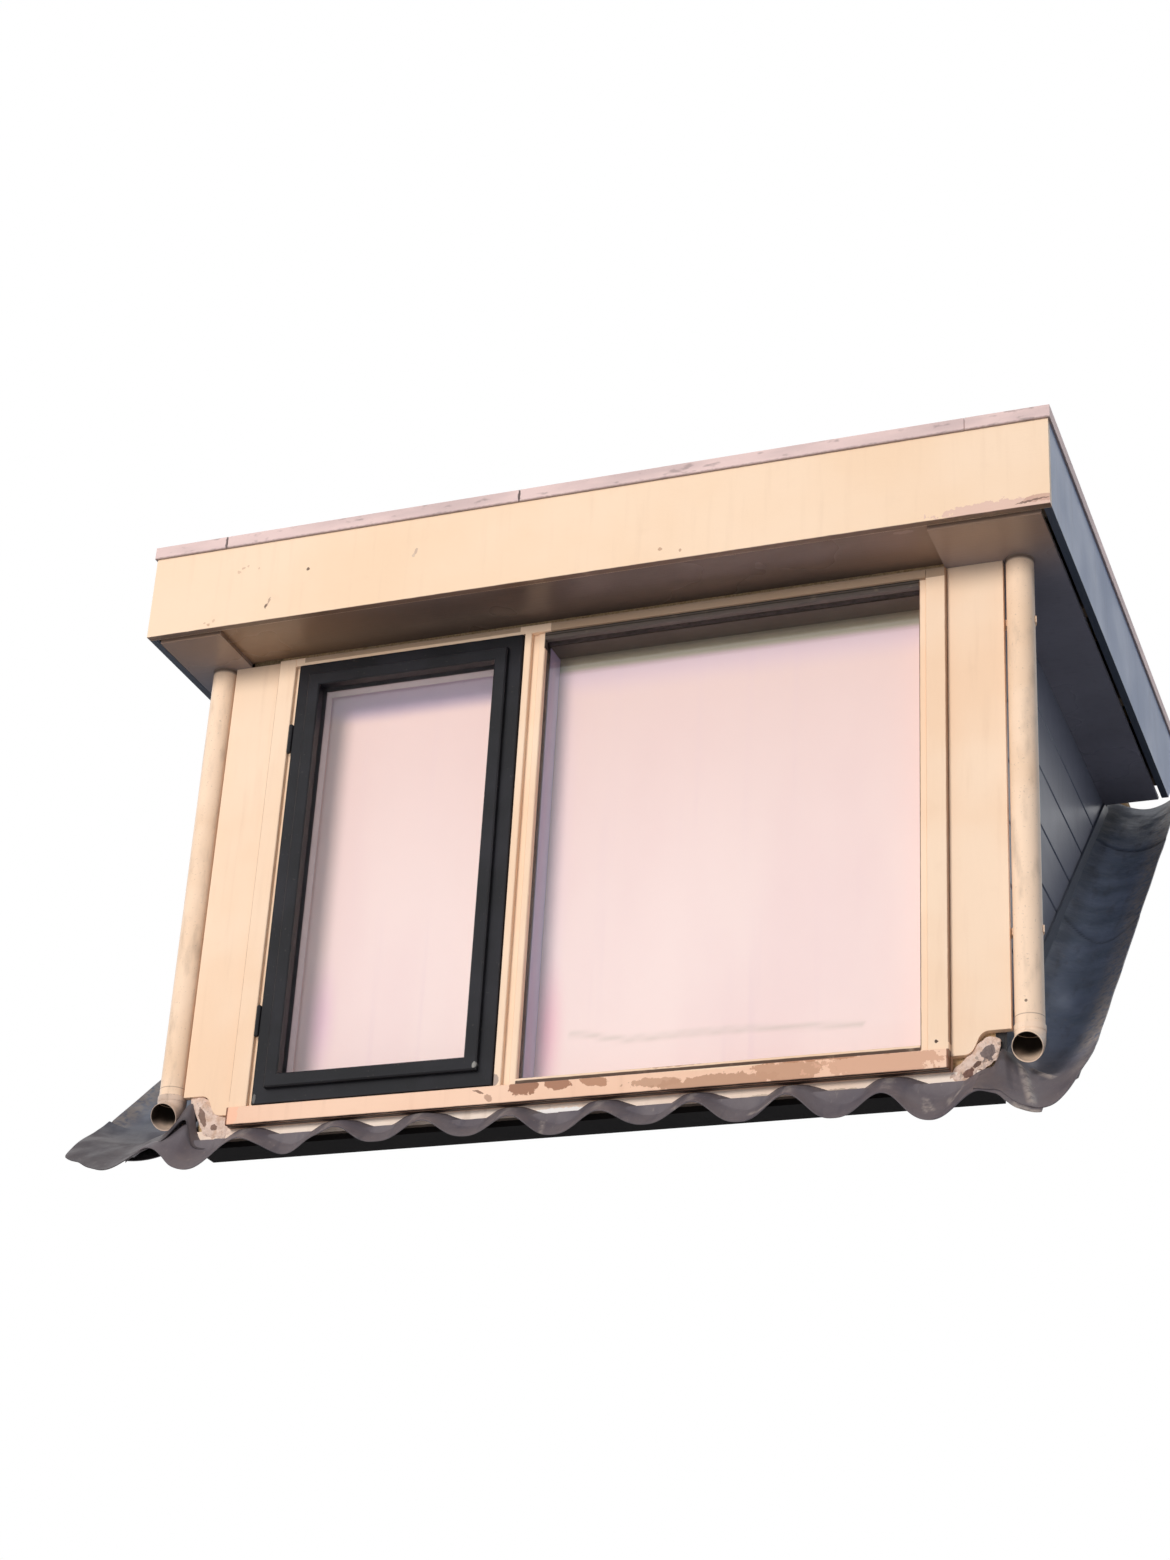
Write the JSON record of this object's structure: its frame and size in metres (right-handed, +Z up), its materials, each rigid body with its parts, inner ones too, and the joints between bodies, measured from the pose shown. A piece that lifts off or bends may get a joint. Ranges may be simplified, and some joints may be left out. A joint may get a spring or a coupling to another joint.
{
  "type": "flat roofed dormer window",
  "caption": "Flat-roofed timber dormer with a casement beside a fixed pane, board cheeks cut to the roof slope, corner rainwater pipes and lead aprons.",
  "frame": {"origin": "middle of the underside of the sole beam, where the dormer stands on the trimmer of the roof opening", "axes": "+X to the right as seen from outside, +Y into the roof, +Z up"},
  "size_m": [2.388, 1.9402, 1.6656],
  "materials": {
    "painted_wood": "cream satin paint on wood",
    "dark_paint": "near-black satin paint on wood",
    "glass": "clear insulating glass",
    "blind_cloth": "white blind cloth",
    "roller_plastic": "plain matt",
    "timber": "planed softwood",
    "board": "painted building board",
    "bitumen": "weathered roofing felt",
    "edge_aluminium": "weathered plain aluminium",
    "pipe_plastic": "painted pipe",
    "lead": "weathered sheet lead"
  },
  "bodies": {
    "root": {"cheek_boards_left": "painted_wood", "cheek_boards_right": "painted_wood", "slope_trim_left": "painted_wood", "slope_trim_right": "painted_wood", "front_panel_left": "painted_wood", "front_panel_right": "painted_wood", "fascia_front": "painted_wood", "fascia_left": "painted_wood", "fascia_right": "painted_wood", "soffit_front": "painted_wood", "soffit_left": "painted_wood", "soffit_right": "painted_wood", "base_strip": "painted_wood", "frame_jamb_left": "painted_wood", "frame_jamb_right": "painted_wood", "frame_mullion": "painted_wood", "frame_head": "painted_wood", "frame_sill": "painted_wood", "fixed_bead": "painted_wood", "sash_frame": "dark_paint", "sash_bead": "dark_paint", "hinges": "dark_paint", "fixed_glass": "glass", "sash_glass": "glass", "blind_casement": "blind_cloth", "blind_fixed": "blind_cloth", "blind_rollers": "roller_plastic", "sole_beam": "timber", "base_plate_left": "timber", "base_plate_right": "timber", "rear_header": "timber", "corner_post_left": "timber", "corner_post_right": "timber", "head_beam": "timber", "roof_joists": "timber", "side_frame_left": "timber", "side_frame_right": "timber", "roof_kerb": "timber", "cheek_core_left": "board", "cheek_core_right": "board", "lining_left": "board", "lining_right": "board", "ceiling": "board", "roof_deck": "board", "roof_membrane": "bitumen", "edge_trim": "edge_aluminium", "downpipe_left": "pipe_plastic", "downpipe_right": "pipe_plastic", "elbow_left": "pipe_plastic", "elbow_right": "pipe_plastic", "pipe_clips": "pipe_plastic", "lead_apron": "lead", "lead_channel_left": "lead", "lead_channel_right": "lead"}
  },
  "joints": []
}
